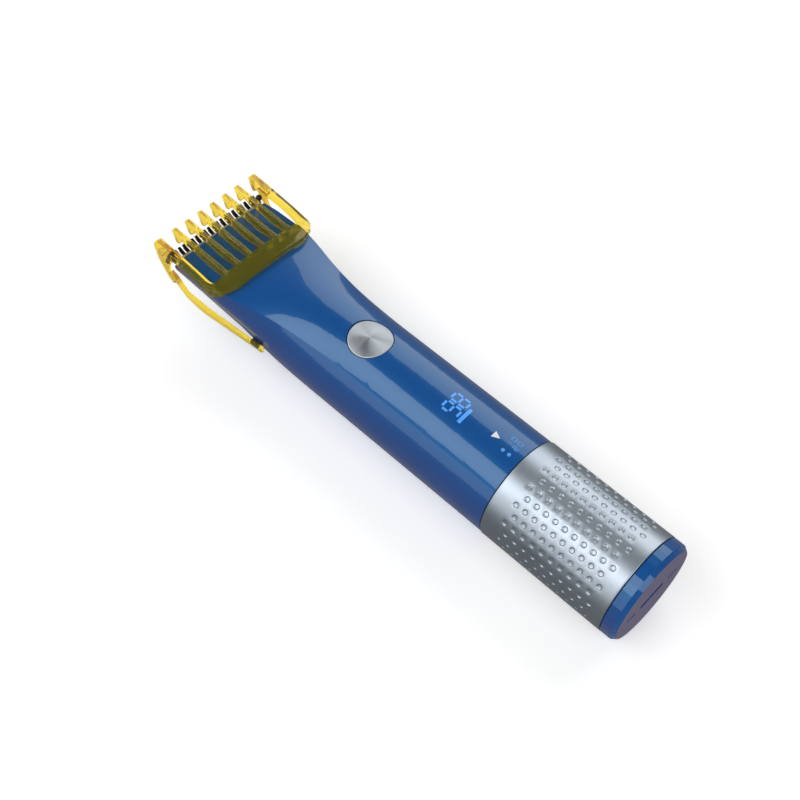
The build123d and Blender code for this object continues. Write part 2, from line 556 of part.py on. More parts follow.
cam += rod(cam_x0 - 4.0, cam_x0, CAM_PIN_R, y=BLADE_STROKE, z=MOTOR_Z)
nodes["drive_cam"] = cam - rod(MOTOR_X0 - 3.5, cam_x0 + 4, MOTOR_SHAFT_R, z=MOTOR_Z)

bracket = block(MOTOR_X0 - BRACKET_T, MOTOR_X0, -DIAL_R, DIAL_R, AXIS_Z + 1.0, 2 * DIAL_R)
bracket += block(MOTOR_X0 - BRACKET_T, MOTOR_X0, CLEAR - ARM_Y0, ARM_Y0 - CLEAR, 0, AXIS_Z + 1.0)
bracket &= cavity
bracket -= rod(MOTOR_X0 - 3, MOTOR_X0 + 1, CAM_R - 0.7, z=MOTOR_Z)
MOTOR_SCREW_R = 0.8
motor_screws = Part()
for side_y in (-5.2, 5.2):
    bracket -= rod(MOTOR_X0 - 3, MOTOR_X0 + 1, MOTOR_SCREW_R, y=side_y, z=MOTOR_Z)
    nodes["motor_can"] -= rod(MOTOR_X0 - 1, MOTOR_X0 + 2, MOTOR_SCREW_R, y=side_y, z=MOTOR_Z)
    motor_screws += rod(MOTOR_X0 - BRACKET_T - 0.8, MOTOR_X0 - BRACKET_T, 1.5, y=side_y, z=MOTOR_Z)
    motor_screws += rod(MOTOR_X0 - BRACKET_T, MOTOR_X0 + 2, MOTOR_SCREW_R, y=side_y, z=MOTOR_Z)
nodes["motor_bracket"] = bracket
nodes["motor_screws"] = motor_screws

FORK_GAP = 2 * BLADE_STROKE + CAM_PIN_R + 0.15
FORK_T = 1.4
fork_x1 = cam_x0 - 0.8
fork_x0 = fork_x1 - 2.6
fork_z0, fork_z1 = MOTOR_Z - 3.4, MOTOR_Z + 3.6
driver = both_sides(block(fork_x0, fork_x1, FORK_GAP, FORK_GAP + FORK_T, fork_z0, fork_z1 + 2))
driver += block(fork_x0, fork_x1, -FORK_GAP - FORK_T, FORK_GAP + FORK_T, fork_z1, fork_z1 + 2)
beam_end = blade_frame.from_local_coords((BLADE_DEPTH - 2.5, 0, BASE_TOP))
beam_back = blade_frame.from_local_coords((BLADE_DEPTH - 1.0, 0, BASE_TOP))
beam = [(fork_x1, fork_z1), (fork_x1, fork_z1 + 2), (beam_back.X + 1.4, beam_back.Z + 1.0),
        (beam_back.X, beam_back.Z), (beam_end.X, beam_end.Z), (beam_end.X + 0.2, beam_end.Z - 1.4),
        (fork_x0 - 1.5, fork_z1)]
driver += side_plate(beam, -2.2, 2.2)
nodes["blade_driver"] = driver - cutter_block(-2, BLADE_DEPTH, DIAL_R, -2 * BLADE_T - BLADE_GAP, 2)

# ---- chassis, board and battery ----
CHASSIS_Z = AXIS_Z + 7.3
chassis_x0 = MOTOR_X1 + 0.6
chassis = block(chassis_x0, CORE_X0, -BOARD_HALF, BOARD_HALF, CHASSIS_Z, CHASSIS_Z + 1.0)
for x in (chassis_x0 + 3, CORE_X0 - 12):
    for y in (-6, 6):
        chassis += post(x, y, CHASSIS_Z + 1.0, BOARD_Z, 1.4)
cradle = rod(chassis_x0, chassis_x0 + 3.0, MOTOR_R + 1.0, MOTOR_R - 1.6, z=MOTOR_Z)
chassis += cradle & block(chassis_x0, chassis_x0 + 3.0, -DIAL_R, DIAL_R, MOTOR_Z, CHASSIS_Z + 1.0)
BOARD_SCREW_R = 0.7
board_x0, board_x1 = chassis_x0 + 0.5, CORE_X0 - 10.0
board = block(board_x0, board_x1, -BOARD_HALF, BOARD_HALF, BOARD_Z, BOARD_TOP)
board_screws = Part()
for x, y in ((chassis_x0 + 3, -6), (CORE_X0 - 12, 6)):
    chassis -= post(x, y, CHASSIS_Z - 1, BOARD_Z + 1, BOARD_SCREW_R)
    board -= post(x, y, BOARD_Z - 1, BOARD_TOP + 1, BOARD_SCREW_R)
    board_screws += post(x, y, CHASSIS_Z, BOARD_TOP, BOARD_SCREW_R)
    board_screws += post(x, y, BOARD_TOP, BOARD_TOP + 0.6, 1.3)
nodes["chassis"] = chassis
nodes["main_board"] = board
nodes["board_screws"] = board_screws
chips = Part()
for ahead, y, long, wide, high in ((15.5, 2.5, 5, 5, 0.9), (15.5, -4.5, 3, 2, 0.7),
                                   (8.5, -3.0, 3, 3, 0.8), (21.5, -5.5, 2, 1.2, 0.6)):
    x = guide_x0 - ahead
    chips += block(x - long / 2, x + long / 2, y - wide / 2, y + wide / 2, BOARD_TOP, BOARD_TOP + high)
nodes["board_chips"] = chips

BATTERY_X1 = BORE_END - 0.6
BATTERY_X0 = BATTERY_X1 - BATTERY_LEN
nodes["battery_cell"] = (rod(BATTERY_X0, BATTERY_X1 - 0.8, BATTERY_R)
                         + rod(BATTERY_X1 - 0.8, BATTERY_X1, 2.6))
TAB_T = 0.2
front_tab = block(BATTERY_X0 - TAB_T, BATTERY_X0, -2, 2, AXIS_Z - 3, CHASSIS_Z)
rear_tab = block(BATTERY_X1, BATTERY_X1 + TAB_T, -2, 2, AXIS_Z - 3, AXIS_Z + 5)
nodes["battery_tabs"] = front_tab + rear_tab

# ---- end cap, charging socket and seals ----
CAP_EDGE = 1.4
CAP_SLOT_Y0, CAP_SLOT_Y1 = 6.9, 10.5
CAP_SLOT_H = 0.45
CAP_SLOT_DEPTH = 2.2
cap = rod(CAP_X, TAIL_X, DIAL_R)
rim = cap.edges().filter_by(GeomType.CIRCLE).filter_by(lambda edge: edge.center().X > TAIL_X - 0.01)
cap = chamfer(rim, length=CAP_EDGE, length2=CAP_EDGE * 0.75)
holes = block(CAP_X, TAIL_X + 1, -SLOT_HALF, SLOT_HALF, AXIS_Z - SLOT_H, AXIS_Z + SLOT_H)
cap_studs = Part()
for side_y in (-1, 1):
    y0, y1 = sorted((side_y * CAP_SLOT_Y0, side_y * CAP_SLOT_Y1))
    holes += block(TAIL_X - CAP_SLOT_DEPTH, TAIL_X + 1, y0, y1, AXIS_Z - CAP_SLOT_H, AXIS_Z + CAP_SLOT_H)
    holes += rod(CAP_X - 1, CAP_X + 1.2, CAP_SCREW_R, y=side_y * CAP_SCREW_Y)
    cap_studs += rod(CAP_X - 4.8, CAP_X + 1.2, CAP_SCREW_R, y=side_y * CAP_SCREW_Y)
nodes["end_cap"] = cap - slot_turned(holes)
nodes["cap_studs"] = slot_turned(cap_studs)

socket_x0, socket_x1 = CAP_X - SOCKET_DEPTH, TAIL_X - 2.0
socket = block(socket_x0, socket_x1, -SLOT_HALF, SLOT_HALF, AXIS_Z - SLOT_H, AXIS_Z + SLOT_H)
SOCKET_WALL = 0.3
SOCKET_BACK = 0.8
socket -= block(socket_x0 + SOCKET_BACK, socket_x1 + 1, SOCKET_WALL - SLOT_HALF, SLOT_HALF - SOCKET_WALL,
                AXIS_Z + SOCKET_WALL - SLOT_H, AXIS_Z + SLOT_H - SOCKET_WALL)
nodes["charge_socket"] = slot_turned(socket)
pins = Part()
for y in (-1.6, 1.6):
    pins += block(socket_x0 + SOCKET_BACK, socket_x1 - 0.8, y - 0.8, y + 0.8, AXIS_Z - 0.25, AXIS_Z + 0.25)
nodes["charge_contacts"] = slot_turned(pins)
SEAL_W = 0.6
seals = (rod(CORE_STEP + 4.6, CORE_STEP + 4.6 + SEAL_W, CORE_R + 0.25, CORE_R)
         + rod(DIAL_X1 - 1.4, DIAL_X1 - 1.4 + SEAL_W, CORE_R + 0.25, CORE_R))
nodes["dial_seals"] = seals

os.makedirs("parts", exist_ok=True)
for name, shape in nodes.items():
    export_step(shape, f"parts/{name}.step")
    print(name, round(shape.volume, 2))
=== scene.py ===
import json
from math import cos, hypot, pi, radians, sin

import bmesh
import bpy
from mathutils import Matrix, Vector
from mathutils.bvhtree import BVHTree


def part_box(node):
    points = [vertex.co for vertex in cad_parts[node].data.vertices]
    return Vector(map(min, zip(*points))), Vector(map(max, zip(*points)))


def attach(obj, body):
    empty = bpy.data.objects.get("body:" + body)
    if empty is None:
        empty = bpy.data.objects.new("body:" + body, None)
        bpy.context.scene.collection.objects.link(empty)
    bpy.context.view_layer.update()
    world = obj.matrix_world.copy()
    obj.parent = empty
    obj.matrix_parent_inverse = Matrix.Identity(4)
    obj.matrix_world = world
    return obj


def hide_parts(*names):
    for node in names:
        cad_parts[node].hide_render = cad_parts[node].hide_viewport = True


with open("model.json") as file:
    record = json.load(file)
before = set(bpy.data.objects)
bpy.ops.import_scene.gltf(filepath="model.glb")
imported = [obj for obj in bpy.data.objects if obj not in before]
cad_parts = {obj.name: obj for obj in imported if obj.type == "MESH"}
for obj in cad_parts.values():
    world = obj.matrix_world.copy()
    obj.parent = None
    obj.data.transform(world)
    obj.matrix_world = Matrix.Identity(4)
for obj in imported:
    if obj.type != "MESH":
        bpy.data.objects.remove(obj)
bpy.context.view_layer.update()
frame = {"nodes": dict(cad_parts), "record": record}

MM = 0.001
NODES = frame["nodes"]

# ---- places read from the frame, in metres ----
SLEEVE_LOW, SLEEVE_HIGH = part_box("dial_sleeve")
CAP_LOW, CAP_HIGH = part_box("end_cap")
BUTTON_LOW, BUTTON_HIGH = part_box("power_button")
COMB_LOW, COMB_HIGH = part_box("comb")
BLADE_LOW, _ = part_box("moving_blade")
DIAL_R = SLEEVE_HIGH.y
AXIS_Z = CAP_HIGH.z - DIAL_R
ABOVE_Z = 2 * AXIS_Z + 5 * MM  # clear of the part's top, to look down from
BUTTON_X = (BUTTON_LOW.x + BUTTON_HIGH.x) / 2
BUTTON_R = (BUTTON_HIGH.x - BUTTON_LOW.x) / 2

# ---- sizes that the finishes use ----
BLADE_BLACK = 4.0 * MM       # length of the teeth that is blackened
BLADE_FADE = 0.1 * MM        # length over which the black gives way to bare steel
COMB_PITCH = 5.02 * MM       # middle teeth of the comb
COMB_RAIL_Y = COMB_HIGH.y - 1.57 * MM
# painted shade in the comb's recessed panels: how far each is whole, and where it has faded out
TOOTH_PANEL = (0.35 * MM, 0.55 * MM)  # from the middle of a middle tooth
RAIL_PANEL = (0.65 * MM, 0.85 * MM)   # from the middle of a rail
SHORT_PANEL = (3.0 * MM, 3.3 * MM)    # back from the tip, on the middle teeth
LONG_PANEL = (8.0 * MM, 8.4 * MM)     # back from the tip, on the rails
PANEL_START = (1.2 * MM, 0.9 * MM)    # back from the tip, at the front of them all


# ---- materials ----
class Finish:
    """A node material around one Principled shader."""

    def __init__(self, name, sockets):
        self.material = bpy.data.materials.new(name)
        self.material.use_nodes = True
        self.tree = self.material.node_tree
        self.shader = self.tree.nodes["Principled BSDF"]
        for socket, value in sockets.items():
            self.shader.inputs[socket].default_value = value

    def node(self, kind, sockets=None, output=0, **settings):
        """A new node with these settings; a socket's value is a number or another node's output."""
        made = self.tree.nodes.new(kind)
        for key, value in settings.items():
            setattr(made, key, value)
        for key, value in (sockets or {}).items():
            if isinstance(value, bpy.types.NodeSocket):
                self.tree.links.new(value, made.inputs[key])
            else:
                made.inputs[key].default_value = value
        return made.outputs[output]

    def math(self, operation, *values):
        """A maths node over numbers or other nodes' outputs."""
        return self.node("ShaderNodeMath", dict(enumerate(values)), operation=operation)

    def axes(self, kind="Object"):
        """The x, y and z of the coordinates of this kind."""
        made = self.tree.nodes.new("ShaderNodeSeparateXYZ")
        self.tree.links.new(self.node("ShaderNodeTexCoord", output=kind), made.inputs[0])
        return made.outputs

    def place(self, scale=(1, 1, 1), offset=(0, 0, 0)):
        """Object coordinates, in metres, stretched by scale."""
        point = self.node("ShaderNodeTexCoord", output="Object")
        return self.node("ShaderNodeMapping", {"Vector": point, "Scale": scale, "Location": offset})

    def around_axis(self, along, around):
        """Coordinates along the groomer's axis and round it, for grain that follows a tube."""
        x, y, z = self.axes()
        angle = self.math("ARCTAN2", y, self.math("SUBTRACT", z, AXIS_Z))
        return self.node("ShaderNodeCombineXYZ", {0: self.math("MULTIPLY", x, along),
                                                  1: self.math("MULTIPLY", angle, around)})

    def noise(self, vector, scale, detail=2.0, roughness=0.5):
        return self.node("ShaderNodeTexNoise",
                         {"Vector": vector, "Scale": scale, "Detail": detail, "Roughness": roughness})

    def spread(self, value, low, high, start=0.3, end=0.7):
        """A value from start to end, remapped to low to high."""
        return self.node("ShaderNodeMapRange", {"Value": value, "From Min": start, "From Max": end,
                                                "To Min": low, "To Max": high})

    def tint(self, value, *stops):
        """A colour ramp between two (position, colour) stops."""
        made = self.tree.nodes.new("ShaderNodeValToRGB")
        for stop, (position, colour) in zip(made.color_ramp.elements, stops):
            stop.position, stop.color = position, (*colour, 1)
        self.tree.links.new(value, made.inputs[0])
        return made.outputs[0]

    def mixed(self, share, first, second):
        """Two colours, blended by a share of the second."""
        made = self.tree.nodes.new("ShaderNodeMix")
        made.data_type = "RGBA"
        for index, value in ((0, share), (6, first), (7, second)):
            self.tree.links.new(value, made.inputs[index])
        return made.outputs[2]

    def link(self, socket, value):
        self.tree.links.new(value, self.shader.inputs[socket])

    def bump(self, height, depth, strength=1.0):
        """Relief of this depth, in metres, on the shader's normal."""
        made = self.node("ShaderNodeBump", {"Height": height, "Distance": depth, "Strength": strength})
        self.link("Normal", made)
        return made


def blue_gloss():
    """Deep blue pearl under a clear coat, with a slight orange peel. Its flanks are painted a darker
    purple: painted shade on the sides, together with the pearl's purple colour shift.
    """
    made = Finish("blue_gloss", {
        "Roughness": 0.3, "IOR": 1.5, "Specular Tint": (0.3, 0.9, 1.0, 1.0),
        "Coat Weight": 0.8, "Coat Roughness": 0.04, "Coat IOR": 1.5})
    pearl = made.noise(made.place(), 1500.0, 1.0)
    blue = made.tint(pearl, (0.3, (0.0, 0.064, 0.270)), (0.7, (0.001, 0.067, 0.280)))
    # painted shade: the darker purple that the flanks get, with the pearl's purple shift in it
    shaded_purple = made.tint(pearl, (0.3, (0.012, 0.042, 0.185)), (0.7, (0.016, 0.048, 0.205)))
    side = made.math("ABSOLUTE", made.axes("Normal")[1])
    # where the surface faces sideways, the painted shade of the flanks is mixed in
    made.link("Base Color", made.mixed(made.spread(side, 0.0, 1.0, 0.7, 1.0), blue, shaded_purple))
    made.link("Roughness", made.spread(made.noise(made.place(), 220.0), 0.28, 0.32))
    made.bump(made.noise(made.place(), 160.0, 0.0), 0.004 * MM)
    return made.material


def brushed_sleeve():
    """Grey-blue anodised metal, brushed round the dial."""
    made = Finish("brushed_sleeve", {"Metallic": 1.0, "Roughness": 0.3})
    grain = made.noise(made.around_axis(9000.0, 6.0), 1.0, 4.0, 0.65)
    cloud = made.noise(made.place(), 60.0, 2.0)
    mixed = made.math("ADD", grain, cloud)
    made.link("Base Color", made.tint(mixed, (0.55, (0.31, 0.365, 0.43)), (1.35, (0.44, 0.50, 0.56))))
    made.link("Roughness", made.spread(grain, 0.34, 0.46))
    made.bump(grain, 0.006 * MM, 0.5)
    return made.material


def turned_button():
    """Spun aluminium: fine rings round the button's middle, which spread the light into two fans."""
    made = Finish("turned_button", {"Metallic": 1.0, "Roughness": 0.3, "Anisotropic": 0.85})
    centred = made.place(offset=(-BUTTON_X, 0, 0))
    flat = made.node("ShaderNodeVectorMath", {0: centred, 1: (1, 1, 0)}, operation="MULTIPLY")
    radius = made.node("ShaderNodeVectorMath", {0: flat}, output="Value", operation="LENGTH")
    rings = made.node("ShaderNodeTexNoise", {"W": radius, "Scale": 5200.0, "Detail": 3.0},
                      noise_dimensions="1D")
    made.link("Base Color", made.tint(rings, (0.3, (0.44, 0.48, 0.52)), (0.7, (0.58, 0.62, 0.66))))
    made.link("Roughness", made.spread(rings, 0.44, 0.54))
    made.link("Tangent", made.node("ShaderNodeTangent", direction_type="RADIAL", axis="Z"))
    made.bump(rings, 0.008 * MM, 0.6)
    return made.material


def amber_clear():
    """Clear amber plastic with faint flow lines, and painted shade in the recessed panels behind the tips
    of the teeth.
    """
    made = Finish("amber_clear", {"Roughness": 0.05, "Transmission Weight": 0.955, "IOR": 1.12,
                                  "Coat Weight": 0.6, "Coat Roughness": 0.05})
    flow = made.noise(made.place((0.25, 1, 1)), 300.0, 2.0)
    clear = made.tint(flow, (0.3, (0.90, 0.66, 0.06)), (0.7, (0.93, 0.72, 0.085)))
    # painted shade: a dark brown for the recessed panels near the tips
    panel_shade = made.tint(flow, (0.3, (0.40, 0.20, 0.03)), (0.7, (0.52, 0.28, 0.045)))
    x, y, _ = made.axes()
    near = made.math("PINGPONG", y, COMB_PITCH / 2)
    teeth = made.spread(near, 0.0, 1.0, COMB_PITCH / 2 - TOOTH_PANEL[1], COMB_PITCH / 2 - TOOTH_PANEL[0])
    off_rail = made.math("ABSOLUTE", made.math("SUBTRACT", made.math("ABSOLUTE", y), COMB_RAIL_Y))
    rails = made.spread(off_rail, 1.0, 0.0, *RAIL_PANEL)
    tip = COMB_LOW.x
    short = made.spread(x, 1.0, 0.0, tip + SHORT_PANEL[0], tip + SHORT_PANEL[1])
    long = made.spread(x, 1.0, 0.0, tip + LONG_PANEL[0], tip + LONG_PANEL[1])
    panels = made.math("MAXIMUM", made.math("MULTIPLY", teeth, short), made.math("MULTIPLY", rails, long))
    behind = made.spread(x, 0.0, 1.0, tip + PANEL_START[1], tip + PANEL_START[0])
    # where the panels' painted shade lies
    mask = made.math("MULTIPLY", panels, behind)
    made.link("Base Color", made.mixed(mask, clear, panel_shade))
    made.link("Roughness", made.spread(made.noise(made.place(), 700.0), 0.03, 0.08))
    return made.material


def metal(name, dark, light, roughness, stretch=(40, 1, 1), scale=300.0):
    """Ground or turned metal, with grain along one way."""
    made = Finish(name, {"Metallic": 1.0, "Roughness": roughness})
    grain = made.noise(made.place(stretch), scale, 3.0, 0.6)
    made.link("Base Color", made.tint(grain, (0.3, dark), (0.7, light)))
    made.link("Roughness", made.spread(grain, roughness - 0.06, roughness + 0.08))
    made.bump(grain, 0.004 * MM, 0.5)
    return made.material


def blade_steel():
    """Blackened cutting teeth in front of a ground strip of bare steel."""
    made = Finish("blade_steel", {"Metallic": 1.0, "Roughness": 0.35})
    grain = made.noise(made.place((1, 40, 1)), 300.0, 3.0)
    black = made.tint(grain, (0.3, (0.008, 0.008, 0.01)), (0.7, (0.018, 0.018, 0.022)))
    bare = made.tint(grain, (0.3, (0.34, 0.35, 0.37)), (0.7, (0.5, 0.51, 0.53)))
    edge = BLADE_LOW.x + BLADE_BLACK
    strip = made.spread(made.axes()[0], 0.0, 1.0, edge, edge + BLADE_FADE)
    made.link("Base Color", made.mixed(strip, black, bare))
    made.link("Roughness", made.spread(grain, 0.3, 0.42))
    made.bump(grain, 0.004 * MM, 0.5)
    return made.material


def moulded(name, dark, light, roughness, grain=1400.0, relief=0.01 * MM):
    """Moulded plastic or rubber with a fine spark-eroded texture."""
    made = Finish(name, {"Roughness": roughness})
    texture = made.noise(made.place(), grain, 3.0, 0.6)
    made.link("Base Color", made.tint(texture, (0.3, dark), (0.7, light)))
    made.link("Roughness", made.spread(texture, roughness - 0.08, roughness + 0.08))
    made.bump(texture, relief, 0.6)
    return made.material


def cap_face():
    """The end cap's blue gloss, greyed to mauve where its flat end face is worn to a satin."""
    made = Finish("cap_face", {"Roughness": 0.4, "Coat Weight": 0.25, "Coat Roughness": 0.3})
    texture = made.noise(made.place(), 1800.0, 3.0, 0.6)
    made.link("Base Color", made.tint(texture, (0.3, (0.12, 0.095, 0.20)), (0.7, (0.16, 0.13, 0.255))))
    made.link("Roughness", made.spread(texture, 0.36, 0.5))
    made.bump(texture, 0.01 * MM, 0.5)
    return made.material


def lit(name, colour, strength):
    """Lit light-blue plastic, slightly uneven as a diffused lamp is."""
    made = Finish(name, {"Roughness": 0.3, "Emission Strength": strength})
    glow = made.noise(made.place(), 500.0, 1.0)
    shade = tuple(channel * 0.86 for channel in colour)
    made.link("Emission Color", made.tint(glow, (0.3, shade), (0.7, colour)))
    dim = tuple(channel * 0.2 for channel in colour)
    made.link("Base Color", made.tint(glow, (0.3, dim), (0.7, tuple(channel * 0.25 for channel in colour))))
    return made.material


def painted(name, colour):
    """Pad-printed ink, slightly uneven."""
    made = Finish(name, {"Roughness": 0.45})
    texture = made.noise(made.place(), 2600.0, 2.0)
    shade = tuple(channel * 0.92 for channel in colour)
    made.link("Base Color", made.tint(texture, (0.35, shade), (0.65, colour)))
    made.bump(texture, 0.002 * MM, 0.4)
    return made.material


def circuit():
    """Green solder mask over copper tracks."""
    made = Finish("circuit", {"Roughness": 0.35, "Coat Weight": 0.4})
    tracks = made.node("ShaderNodeTexBrick", {
        "Vector": made.place(), "Scale": 420.0, "Mortar Size": 0.018, "Color1": (0.0, 0.09, 0.035, 1),
        "Color2": (0.0, 0.12, 0.045, 1), "Mortar": (0.03, 0.24, 0.09, 1)})
    made.link("Base Color", tracks)
    made.bump(made.noise(made.place(), 900.0), 0.01 * MM, 0.4)
    return made.material


def wrapped_cell():
    """A battery's shrink wrap, with a paler band."""
    made = Finish("wrapped_cell", {"Roughness": 0.3, "Coat Weight": 0.5})
    bands = made.node("ShaderNodeTexWave", {"Vector": made.place(), "Scale": 6.0, "Distortion": 0.0})
    made.link("Base Color", made.tint(bands, (0.45, (0.02, 0.2, 0.09)), (0.55, (0.03, 0.3, 0.14))))
    made.bump(made.noise(made.place(), 300.0), 0.02 * MM, 0.3)
    return made.material


FINISHES = {
    "blue_shell": blue_gloss(),
    "brushed_metal": brushed_sleeve(),
    "amber": amber_clear(),
    "dial_plastic": moulded("dial_plastic", (0.012, 0.014, 0.02), (0.03, 0.033, 0.042), 0.5),
    "steel": metal("ground_steel", (0.42, 0.43, 0.45), (0.62, 0.63, 0.65), 0.26),
    "black_plastic": moulded("black_plastic", (0.004, 0.004, 0.006), (0.012, 0.012, 0.015), 0.42),
    "brass": metal("turned_brass", (0.55, 0.36, 0.12), (0.75, 0.53, 0.22), 0.28),
    "light": lit("display_light", (0.09, 0.38, 1.0), 0.8),
    "board": circuit(),
    "seal": moulded("black_rubber", (0.01, 0.01, 0.011), (0.022, 0.022, 0.024), 0.7, 700.0, 0.02 * MM),
    "battery": wrapped_cell(),
    "contact": metal("gold_contact", (0.62, 0.43, 0.15), (0.85, 0.63, 0.27), 0.22),
}
CUTTING = blade_steel()
OWN_FINISH = {"moving_blade": CUTTING, "fixed_blade": CUTTING}
for subpart in frame["record"]["subparts"]:
    mesh = NODES[subpart["node"]].data
    mesh.materials.clear()
    mesh.materials.append(OWN_FINISH.get(subpart["node"], FINISHES[subpart["material_slot"]]))


# ---- helpers for new pieces ----
def piece(name, mesh, body, slot, *stands_for, finishes=()):
    """A new piece that rides on a body and may stand for CAD nodes."""
    made = bpy.data.objects.new(name, mesh)
    bpy.context.scene.collection.objects.link(made)
    for finish in finishes or [FINISHES[slot]]:
        mesh.materials.append(finish)
    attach(made, body)
    if stands_for:
        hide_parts(*stands_for)
    return made


def skin(node):
    """A CAD node's surface, to drop points on."""
    source = NODES[node]
    points = [source.matrix_world @ vertex.co for vertex in source.data.vertices]
    return BVHTree.FromPolygons(points, [tuple(face.vertices) for face in source.data.polygons])


def height(surface, x, y):
    """Height of the uppermost point of a surface over a place."""
    return surface.ray_cast(Vector((x, y, ABOVE_Z)), Vector((0, 0, -1)))[0].z


def finished(name, shape, smooth=True):
    """A mesh from a finished shape, with its normals outward."""
    bmesh.ops.recalc_face_normals(shape, faces=shape.faces)
    for face in shape.faces:
        face.smooth = smooth
    mesh = bpy.data.meshes.new(name)
    shape.to_mesh(mesh)
    shape.free()
    return mesh


def wall(shape, loops):
    """Faces between closed loops of points that follow one another."""
    for first, second in zip(loops, loops[1:]):
        for index in range(len(first)):
            after = (index + 1) % len(first)
            shape.faces.new((first[index], first[after], second[after], second[index]))


def fan(shape, loop, centre):
    """Faces from a closed loop of points to one point."""
    for index in range(len(loop)):
        shape.faces.new((loop[index], loop[(index + 1) % len(loop)], centre))


# ---- dial sleeve, with its staggered dimples pressed in ----
DIMPLE_LINES = 32            # lines of dimples along the sleeve
DIMPLES_PER_LINE = 10
DIMPLE_PITCH = 3.217 * MM
DIMPLE_R = 0.86 * MM
DIMPLE_DEPTH = 0.28 * MM
DIMPLE_START = 6.75 * MM     # first dimple of a line, from the sleeve's edge at the body
DIMPLE_TURN = radians(-8.4)  # a line that starts half a pitch later
SLEEVE_T = 0.7 * MM
SLEEVE_EDGE = 0.2 * MM
SLEEVE_BAND = 0.5 * MM       # first plain ring beside the dimples
CELL_POINTS = 16             # points round a dimple and its cell
# rings of a dimple: share of its radius, share of its depth
DIMPLE_RINGS = ((1.06, 0.0), (1.0, 0.06), (0.93, 0.4), (0.82, 0.75), (0.6, 0.93), (0.3, 0.99))


def dimpled_sleeve():
    """A grid of cells with one dimple in each. A line's cells lie half a pitch off its neighbours'."""
    shape = bmesh.new()
    turn = 2 * pi / DIMPLE_LINES
    first_x = SLEEVE_LOW.x + DIMPLE_START
    spots = {}

    def spot(x, angle, depth=0.0):
        """One vertex for each place on the tube."""
        key = (round(x * 1e7), round((angle % (2 * pi)) * 1e6) % round(2 * pi * 1e6), round(depth * 1e8))
        if key not in spots:
            radius = DIAL_R - depth
            spots[key] = shape.verts.new((x, radius * sin(angle), AXIS_Z + radius * cos(angle)))
        return spots[key]

    quarter = DIMPLE_PITCH / 4
    for line in range(DIMPLE_LINES):
        middle = DIMPLE_TURN + line * turn
        start = first_x + (DIMPLE_PITCH / 2 if line % 2 == 0 else 0.0)
        for index in range(DIMPLES_PER_LINE):
            x = start + index * DIMPLE_PITCH
            edge = []
            for step in range(CELL_POINTS):
                side, along = divmod(step, 4)
                dx, da = [(-2 + along, -2), (2, -2 + along), (2 - along, 2), (-2, 2 - along)][side]
                edge.append(spot(x + dx * quarter, middle + da * turn / 4))
            last = edge
            for share, drop in DIMPLE_RINGS:
                ring = []
                for step in range(CELL_POINTS):
                    direction = 2 * pi * step / CELL_POINTS + 5 * pi / 4
                    dx, dy = cos(direction) * DIMPLE_R * share, sin(direction) * DIMPLE_R * share
                    ring.append(spot(x + dx, middle + dy / DIAL_R, drop * DIMPLE_DEPTH))
                wall(shape, (last, ring))
                last = ring
            fan(shape, last, spot(x, middle, DIMPLE_DEPTH))
        # the half cell at one end of the line
        x = start - DIMPLE_PITCH if line % 2 == 0 else start + DIMPLES_PER_LINE * DIMPLE_PITCH
        x += quarter * (1 if line % 2 == 0 else -1)
        for part in range(4):
            a0, a1 = middle + (part - 2) * turn / 4, middle + (part - 1) * turn / 4
            for half in (-1, 0):
                x0, x1 = x + half * quarter, x + (half + 1) * quarter
                shape.faces.new((spot(x0, a0), spot(x1, a0), spot(x1, a1), spot(x0, a1)))
    # plain bands, rounded edges and the inside of the tube
    low_x, high_x = first_x - DIMPLE_PITCH / 2, first_x + DIMPLES_PER_LINE * DIMPLE_PITCH
    low_edge, high_edge = SLEEVE_LOW.x, SLEEVE_HIGH.x
    around = [DIMPLE_TURN + (index / 4 - 0.5) * turn for index in range(DIMPLE_LINES * 4)]

    def band(profile):
        """Joins rings of (x, depth) round the tube."""
        for (x0, d0), (x1, d1) in zip(profile, profile[1:]):
            for a0, a1 in zip(around, around[1:] + around[:1]):
                shape.faces.new((spot(x0, a0, d0), spot(x1, a0, d1), spot(x1, a1, d1), spot(x0, a1, d0)))

    e = SLEEVE_EDGE
    tail = [(high_x, 0), (high_x + SLEEVE_BAND, 0), (high_edge - 3 * e, 0), (high_edge - e, 0),
            (high_edge - 0.3 * e, 0.3 * e), (high_edge, e), (high_edge, SLEEVE_T)]
    head = [(low_edge, SLEEVE_T), (low_edge, e), (low_edge + 0.3 * e, 0.3 * e), (low_edge + e, 0),
            (low_edge + 3 * e, 0), (low_x - SLEEVE_BAND, 0), (low_x, 0)]
    band(tail + [(low_edge, SLEEVE_T)])
    band(head)
    return finished("dial_grip", shape)


piece("dial_grip", dimpled_sleeve(), "dial", "brushed_metal", "dial_sleeve")

# ---- power button: a crowned disc, turned in fine steps, with a bevelled edge ----
BUTTON_STEPS = 72
BUTTON_TURNS = 16            # turned steps from the middle to the bevel
BUTTON_TURNED = 0.92         # share of the radius that is turned
BUTTON_READ = 0.94           # share of the radius out to which the crown's height is read
BUTTON_CUT = 0.012 * MM      # every other step lies this much deeper
BUTTON_EDGE = ((0.925, 0.0), (0.95, 0.03), (0.972, 0.09), (0.985, 0.2))  # share of the radius, drop in mm


